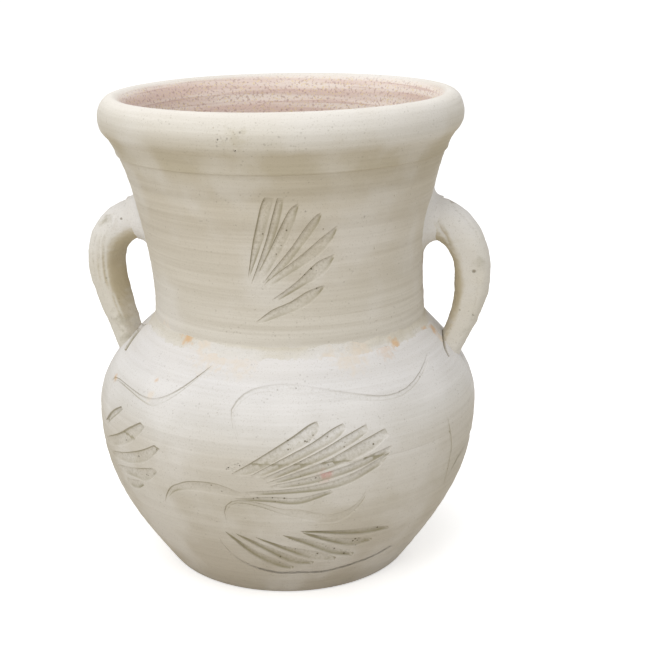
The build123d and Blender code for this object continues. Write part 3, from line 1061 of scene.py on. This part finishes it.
# %% Helpers for shaders
class Wire:
    """A socket of a shader tree that takes part in sums as a number does."""

    def __init__(self, paint, socket):
        self.paint, self.socket = paint, socket

    def maths(self, kind, first, second):
        return self.paint.node("ShaderNodeMath", {"operation": kind}, {0: first, 1: second})

    def __add__(self, other):
        return self.maths("ADD", self, other)

    def __sub__(self, other):
        return self.maths("SUBTRACT", self, other)

    def __rsub__(self, other):
        return self.maths("SUBTRACT", other, self)

    def __mul__(self, other):
        return self.maths("MULTIPLY", self, other)

    __radd__ = __add__
    __rmul__ = __mul__


def rgb(red, green, blue):
    """A colour as a paint chart gives it, from 0 to 255, in the linear values that a shader takes."""
    shares = [value / 255 for value in (red, green, blue)]
    return (*(s / 12.92 if s <= 0.04045 else ((s + 0.055) / 1.055) ** 2.4 for s in shares), 1.0)


class Tree:
    """The node tree of a material or of the world, under construction."""

    def __init__(self, owner):
        owner.use_nodes = True
        self.tree = owner.node_tree

    def node(self, kind, settings, sockets, output=0):
        """Adds a node and gives back one of its outputs. A wire is linked, and anything else is set."""
        node = self.tree.nodes.new(kind)
        for key, value in settings.items():
            if key == "stops":
                for number, (place, colour) in enumerate(value):
                    ramp = node.color_ramp.elements
                    stop = ramp[number] if number < 2 else ramp.new(place)
                    stop.position, stop.color = place, colour
            else:
                setattr(node, key, value)
        for key, value in sockets.items():
            if isinstance(value, Wire):
                self.tree.links.new(value.socket, node.inputs[key])
            else:
                node.inputs[key].default_value = value
        return Wire(self, node.outputs[output])

    def seen(self):
        """Above 0 for rays that see a white setting: from the camera, or off a glossy or clear thing."""
        kinds = ("Is Camera Ray", "Is Glossy Ray", "Is Transmission Ray")
        camera_ray, glossy, clear = (self.node("ShaderNodeLightPath", {}, {}, kind) for kind in kinds)
        return camera_ray + glossy + clear

    def surface(self, wire, end):
        self.tree.links.new(wire.socket, self.tree.nodes[end].inputs["Surface"])


class Paint(Tree):
    """A material, with the patterns that every clay here shares."""

    def __init__(self, name, roughness):
        self.material = bpy.data.materials.new(name)
        super().__init__(self.material)
        self.shader = self.tree.nodes["Principled BSDF"]
        self.shader.inputs["Roughness"].default_value = roughness
        self.shader.inputs["Specular IOR Level"].default_value = 0.25
        self.place = self.node("ShaderNodeTexCoord", {}, {}, "Object")

    def stretched(self, x, y, z):
        return self.node("ShaderNodeVectorMath", {"operation": "MULTIPLY"}, {0: self.place, 1: (x, y, z)})

    def noise(self, scale, detail=3.0, place=None, roughness=0.5):
        return self.node("ShaderNodeTexNoise", {}, {"Vector": place or self.place, "Scale": scale,
                                                    "Detail": detail, "Roughness": roughness})

    def mark(self, name):
        """An attribute of the piece's own points."""
        return self.node("ShaderNodeAttribute", {"attribute_name": name}, {}, "Fac")

    def step(self, value, low, high):
        """0 below low, 1 above high, smooth between. It falls instead where low is the larger."""
        return self.node("ShaderNodeMapRange", {"interpolation_type": "SMOOTHSTEP"},
                         {"Value": value, "From Min": low, "From Max": high})

    def blend(self, share, first, second, kind="MIX"):
        settings = {"data_type": "RGBA", "blend_type": kind}
        return self.node("ShaderNodeMix", settings, {0: share, 6: first, 7: second}, 2)

    def specks(self, scale, size, share):
        """Scattered spots: 1 in the middle of a spot. The share is how many of the cells have one."""
        cells = self.node("ShaderNodeTexVoronoi", {}, {"Vector": self.place, "Scale": scale}, "Distance")
        chosen = self.step(self.noise(scale * 0.31, 1.0), 1 - share, 1.04 - share)
        return self.step(cells, size, size * 0.45) * chosen

    def stain(self, colour, spot, radius, stain, strength):
        """A soft-edged, ragged patch round a point on the clay, radius in mm: a stain, and on the straps also
        painted shade.
        """
        sockets = {0: self.place, 1: spot}
        ragged = self.node("ShaderNodeVectorMath", {"operation": "DISTANCE"}, sockets, "Value")
        ragged = ragged + (self.noise(170.0, 6.0) - 0.5) * (radius * 2.6 * MM)
        return self.blend(self.step(ragged, radius * 1.25 * MM, 0.0) * strength, colour, stain)

    def finish(self, colour, relief, height):
        """Links the colour, and the relief as a bump of some height in mm."""
        self.tree.links.new(colour.socket, self.shader.inputs["Base Color"])
        bump = self.node("ShaderNodeBump", {}, {"Height": relief, "Distance": height * MM, "Strength": 1.0})
        self.tree.links.new(bump.socket, self.shader.inputs["Normal"])
        print("finish", self.material.name, len(self.tree.nodes), "nodes")
        return self.material


# %% [markdown]
# The colour changes with height. The foot is a greyer beige, the shoulder almost white, the neck
# warm again and darker towards the lip, partly its warmer clay and partly painted shade under the
# roll, and the roll of the lip pale. A ramp over the height holds that, and streaks and clouds of
# noise move it about. Fine streaks run round the jar, because the rib and the fingers stayed still
# while it turned. The ramp's heights are in mm.

# %% Height bands of the clay
RAMP_TOP = 520.0
BODY_BANDS = ((0, rgb(196, 187, 171)), (60, rgb(203, 195, 181)),
              (120, rgb(206, 199, 185)), (165, rgb(216, 210, 199)),
              (205, rgb(225, 222, 217)), (235, rgb(234, 232, 231)), (272, rgb(235, 232, 230)))
# The neck darkens towards the lip: partly its warmer clay, partly painted shade under the roll.
NECK_BANDS = ((258, rgb(226, 221, 211)), (285, rgb(222, 216, 204)), (330, rgb(218, 211, 197)),
              (380, rgb(216, 208, 193)), (420, rgb(208, 199, 181)), (444, rgb(198, 188, 167)))
# The dark band from 440 to 462 mm, under the roll, is painted shade.
LIP_BANDS = ((440, rgb(196, 186, 163)), (462, rgb(201, 191, 170)), (472, rgb(219, 212, 198)),
             (486, rgb(229, 224, 214)), (500, rgb(232, 227, 219)))
OLIVE = rgb(139, 130, 94)
# Painted shade for the straps' inner faces.
INNER_STRAP_SHADE = rgb(192, 178, 144)
SPECK = rgb(112, 102, 78)
PINK_CLAY = rgb(240, 229, 221)
PLUM = rgb(158, 122, 116)
ORANGE = rgb(222, 184, 140)
PEACH = rgb(231, 219, 203)
WHITE_CLAY = rgb(236, 233, 229)


def clay(name, bands, stains_and_shade=(), streak_share=0.5, carved=False, inside=False, inner=False,
         roughness=0.9, relief=0.5, mottle=0.04):
    """Unglazed clay whose colour follows the height, with streaks, clouds, specks, pits, stained spots and
    painted shade.
    """
    paint = Paint(name, roughness)
    fine = paint.noise(1.0, 3.0, paint.stretched(5, 5, 330))
    broad = paint.noise(1.0, 3.0, paint.stretched(4, 4, 75))
    cloud = paint.noise(13.0, 4.0)
    grain = paint.noise(700.0, 2.0)
    height = paint.node("ShaderNodeSeparateXYZ", {}, {0: paint.place}, "Z") * (1 / MM)
    level = height * (1 / RAMP_TOP) + (cloud - 0.5) * (mottle * 2.2) + (broad - 0.5) * (mottle * 1.2)
    stops = [(height / RAMP_TOP, colour) for height, colour in bands]
    colour = paint.node("ShaderNodeValToRGB", {"stops": stops}, {0: level})
    streaks = paint.step(fine * 0.5 + broad * 0.5, 0.32, 0.68)
    colour = paint.blend(streaks * (0.2 * streak_share), colour, rgb(172, 162, 138), "MULTIPLY")
    colour = paint.blend(paint.step(cloud, 0.42, 0.66) * 0.35, colour, WHITE_CLAY)
    colour = paint.blend(paint.step(grain, 0.56, 0.72) * 0.2, colour, rgb(150, 140, 116))
    if inside:
        within = paint.mark("inside")
        pink = paint.blend(paint.step(broad, 0.45, 0.65) * 0.55, PINK_CLAY, rgb(208, 176, 166))
        pink = paint.blend(paint.step(paint.noise(380.0, 2.0), 0.52, 0.68) * 0.5, pink, PLUM)
        grit = paint.noise(460.0, 2.0, paint.stretched(1, 1, 1.3))
        pink = paint.blend(paint.step(grit, 0.56, 0.68) * 0.8, pink, rgb(232, 214, 168))
        pink = paint.blend(paint.step(fine, 0.58, 0.7) * 0.4, pink, rgb(176, 132, 124))
        ring = paint.step(height, 446.0, 448.0) * paint.step(height, 453.0, 450.0)
        ring = ring * paint.step(cloud, 0.35, 0.6)
        pink = paint.blend(ring * 0.5, pink, rgb(150, 104, 98))
        colour = paint.blend(within, colour, pink)
    for spot, radius, shade, strength in stains_and_shade:
        colour = paint.stain(colour, spot, radius, shade, strength)
    # Painted shade on the strap faces that turn towards the neck.
    if inner:
        hollow = paint.mark("inner")
        colour = paint.blend(hollow * (0.55 + 0.4 * cloud), colour, INNER_STRAP_SHADE)
    # Cuts painted olive by their depth: partly the dirt in them, partly painted shade.
    cut = paint.mark("depth")
    dug = paint.step(cut, 0.0, 0.85)
    colour = paint.blend(dug * (paint.step(paint.noise(420.0, 4.0), 0.4, 0.75) * 0.28), colour, OLIVE)
    # Painted shade on the steep walls of the cuts.
    if carved:
        side = paint.mark("edge")
        colour = paint.blend(side * (0.5 + 0.45 * cloud), colour, OLIVE)
    pocks = paint.specks(240.0, 0.3, 0.4) * (0.25 + dug)
    colour = paint.blend(pocks * 0.8, colour, SPECK)
    bumps = fine * 0.45 + broad * 0.35 + grain * 0.3 + paint.noise(180.0, 3.0) * (0.5 + dug) - pocks * 0.8
    return paint.finish(colour, bumps, relief)


print("bands", len(BODY_BANDS) + len(NECK_BANDS) + len(LIP_BANDS))

# %% [markdown]
# Stains of iron sit where the slip dried: along the seam, on the right shoulder by the
# handle's foot and on the crest of the left stem. Each is placed by the pixel where the photograph
# shows it, and held on the clay it lies on.

# %% Stains and materials
BODY_STAINS = [  # pixel, radius in mm, colour, strength
    ((190, 338), 13, ORANGE, 0.5), ((214, 352), 24, PEACH, 0.75), ((240, 362), 18, PEACH, 0.5),
    ((350, 358), 20, PEACH, 0.6), ((385, 350), 12, ORANGE, 0.35), ((434, 330), 9, ORANGE, 0.75),
    ((441, 338), 8, PEACH, 0.9), ((157, 380), 3.2, ORANGE, 0.6), ((116, 378), 5, ORANGE, 0.8),
    ((325, 476), 7, rgb(226, 176, 170), 0.75), ((150, 395), 6, PEACH, 0.6),
]
NECK_STAINS = [((165, 330), 14, PEACH, 0.6)]
LIP_STAINS = [((236, 138), 12, rgb(190, 180, 152), 0.35)]
SLIP_STAINS = [((188, 335), 10, ORANGE, 0.9), ((205, 342), 9, PEACH, 0.9),
               ((360, 352), 15, PEACH, 0.9), ((395, 344), 8, ORANGE, 0.8), ((425, 330), 6, ORANGE, 0.8),
               ((330, 356), 9, PEACH, 0.8)]
# On the left strap the olive spots are painted shade: in the thumb dents, on the inner face and over the
# crack by the foot.
LEFT_STAINS_AND_SHADE = [((106, 220), 9, OLIVE, 0.45), ((121, 219), 1.6, SPECK, 0.9), ((122, 320), 12, OLIVE, 0.3),
               ((126, 338), 8, OLIVE, 0.35)]
# On the right strap the olive spot is painted shade on the outer face, which turns away from the lamps.
RIGHT_STAINS_AND_SHADE = [((452, 202), 4, rgb(150, 132, 108), 0.6), ((474, 271), 2, SPECK, 0.7),
                ((460, 310), 1.4, SPECK, 0.8), ((480, 262), 8, OLIVE, 0.25)]


def spots_on(clays, stains_and_shade):
    """Stains and spots of painted shade, with their pixels turned into points, on the first of these pieces
    that the camera meets.
    """
    bpy.context.view_layer.update()
    placed = []
    for pixel, radius, colour, strength in stains_and_shade:
        hits = [piece.ray_cast(Vector(stand), sight(pixel)) for piece in clays]
        hits = [place for hit, place, _, _ in hits if hit]
        if hits:
            nearest = min(hits, key=lambda place: (place - Vector(stand)).length)
            placed.append((tuple(nearest), radius, colour, strength))
        else:
            print("no clay at", pixel)
    return placed


STRAP_BANDS = ((230, rgb(224, 219, 208)), (300, rgb(219, 213, 200)),
               (345, rgb(226, 222, 214)), (380, rgb(231, 228, 224)))
# The slip darkens from 259 to 274 mm, towards the foot of the neck: painted shade in the crease there.
SLIP_BANDS = ((250, rgb(232, 229, 225)), (259, rgb(229, 225, 218)), (266, rgb(222, 216, 203)),
              (274, rgb(214, 207, 191)), (330, rgb(222, 217, 207)), (352, rgb(233, 230, 226)))
belly = [pieces["belly_lower_clay"], pieces["belly_upper_clay"]]
body_clay = clay("body_clay", BODY_BANDS, spots_on(belly, BODY_STAINS), 0.8, carved=True)
neck_clay = clay("neck_clay", NECK_BANDS, spots_on([neck], NECK_STAINS), 1.1, carved=True, inside=True)
lip_clay = clay("lip_clay", LIP_BANDS, spots_on([lip], LIP_STAINS), 0.9, inside=True, mottle=0.012)
left_clay, right_clay = (
    clay(name, STRAP_BANDS, spots_on([strap], stains_and_shade), 0.1, inner=True, mottle=0.08)
    for name, strap, stains_and_shade in (("left_strap_clay", handle_left, LEFT_STAINS_AND_SHADE),
                                ("right_strap_clay", handle_right, RIGHT_STAINS_AND_SHADE)))
slip_clay = clay("slip", SLIP_BANDS, spots_on([seam], SLIP_STAINS), 0.15, relief=0.9, mottle=0.08)

# %% [markdown]
# Each piece gets its finish, rides on the one body, and stands for its CAD node.

# %% Hand over the pieces
STANDS_FOR = {  # piece: CAD node, record's slot, finish
    "base_clay": ("base", "body_clay", body_clay),
    "belly_lower_clay": ("belly_lower", "body_clay", body_clay),
    "belly_upper_clay": ("belly_upper", "body_clay", body_clay),
    "neck_clay": ("neck", "neck_clay", neck_clay),
    "lip_clay": ("lip", "neck_clay", lip_clay),
    "neck_seam_slip_smear": ("neck_seam_slip", "slip", slip_clay),
    "handle_left_strap": ("handle_left", "handle_clay", left_clay),
    "handle_right_strap": ("handle_right", "handle_clay", right_clay),
    "handle_left_slip_collar": ("handle_left_slip", "slip", slip_clay),
    "handle_right_slip_collar": ("handle_right_slip", "slip", slip_clay),
}
remove(blank, neck_guide)
triangles = 0
for name, (node, slot, finish) in STANDS_FOR.items():
    piece = pieces[name]
    piece.data.materials.clear()
    piece.data.materials.append(finish)
    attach(piece, "root")
    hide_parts(node)
    piece.data.calc_loop_triangles()
    triangles += len(piece.data.loop_triangles)
    print(name, "for", node, len(piece.data.loop_triangles), "triangles")
print("all pieces", triangles, "triangles")

# %% [markdown]
# ## Floor and light
# The floor is pale and shows pure white to the camera, with the jar's own soft shadow left on it.
# To everything else it is darker, so that the underside of the belly and of the lip stay in shade. A
# large soft lamp hangs above, a smaller one stands to the upper left in front, and the world fills.

# %% Floor, lamps and world
FLOOR_GLOW = 0.5               # light the floor adds for the camera alone
TOP_POWER = 19.0               # watts
KEY_POWER = 17.0
WORLD_LEVEL = 0.62
FLOOR_SIZE = 90.0              # metres
FLOOR_DROP = 0.0002            # keeps the floor clear of the foot
WHITE = (1, 1, 1, 1)
floor = added(bpy.ops.mesh.primitive_plane_add, "floor", size=FLOOR_SIZE, location=(0, 0, -FLOOR_DROP))
bpy.ops.object.transform_apply(location=True, rotation=True, scale=True)
ground = Paint("floor_white", 1.0)
ground.shader.inputs["Specular IOR Level"].default_value = 0.0
seen = ground.step(ground.seen(), 0.0, 1.0)
shade = ground.blend(seen, rgb(222, 218, 210), rgb(250, 250, 250))
ground.tree.links.new(shade.socket, ground.shader.inputs["Base Color"])
glow = ground.node("ShaderNodeEmission", {}, {"Color": WHITE, "Strength": FLOOR_GLOW}, "Emission")
plain = Wire(ground, ground.shader.outputs[0])
lit = ground.node("ShaderNodeAddShader", {}, {0: plain, 1: glow})
both = ground.node("ShaderNodeMixShader", {}, {0: seen, 1: plain, 2: lit})
ground.surface(both, "Material Output")
floor.data.materials.append(ground.material)

LAMPS = [  # name, place, size, power
    ("top_lamp", (-0.25, -0.35, 2.3), 1.8, TOP_POWER),
    ("key_lamp", (-0.9, -2.3, 1.8), 1.2, KEY_POWER),
]
for name, place, size, power in LAMPS:
    aim_at = Vector((0, 0, 0.28)) - Vector(place)
    bpy.ops.object.light_add(type="AREA", location=place, rotation=aim_at.to_track_quat("-Z", "Y").to_euler())
    lamp = bpy.context.object
    lamp.name = name
    lamp.data.size = size
    lamp.data.energy = power

world = bpy.data.worlds.new("studio")
bpy.context.scene.world = world
sky = Tree(world)
fill = sky.tree.nodes["Background"]
fill.inputs["Color"].default_value = WHITE
fill.inputs["Strength"].default_value = WORLD_LEVEL
backdrop = sky.node("ShaderNodeBackground", {}, {"Color": WHITE, "Strength": 1.0})
chosen = sky.node("ShaderNodeMixShader", {}, {0: sky.seen(), 1: Wire(sky, fill.outputs[0]), 2: backdrop})
sky.surface(chosen, "World Output")
bpy.context.scene.view_settings.view_transform = "Standard"
print(len(LAMPS), "lamps")
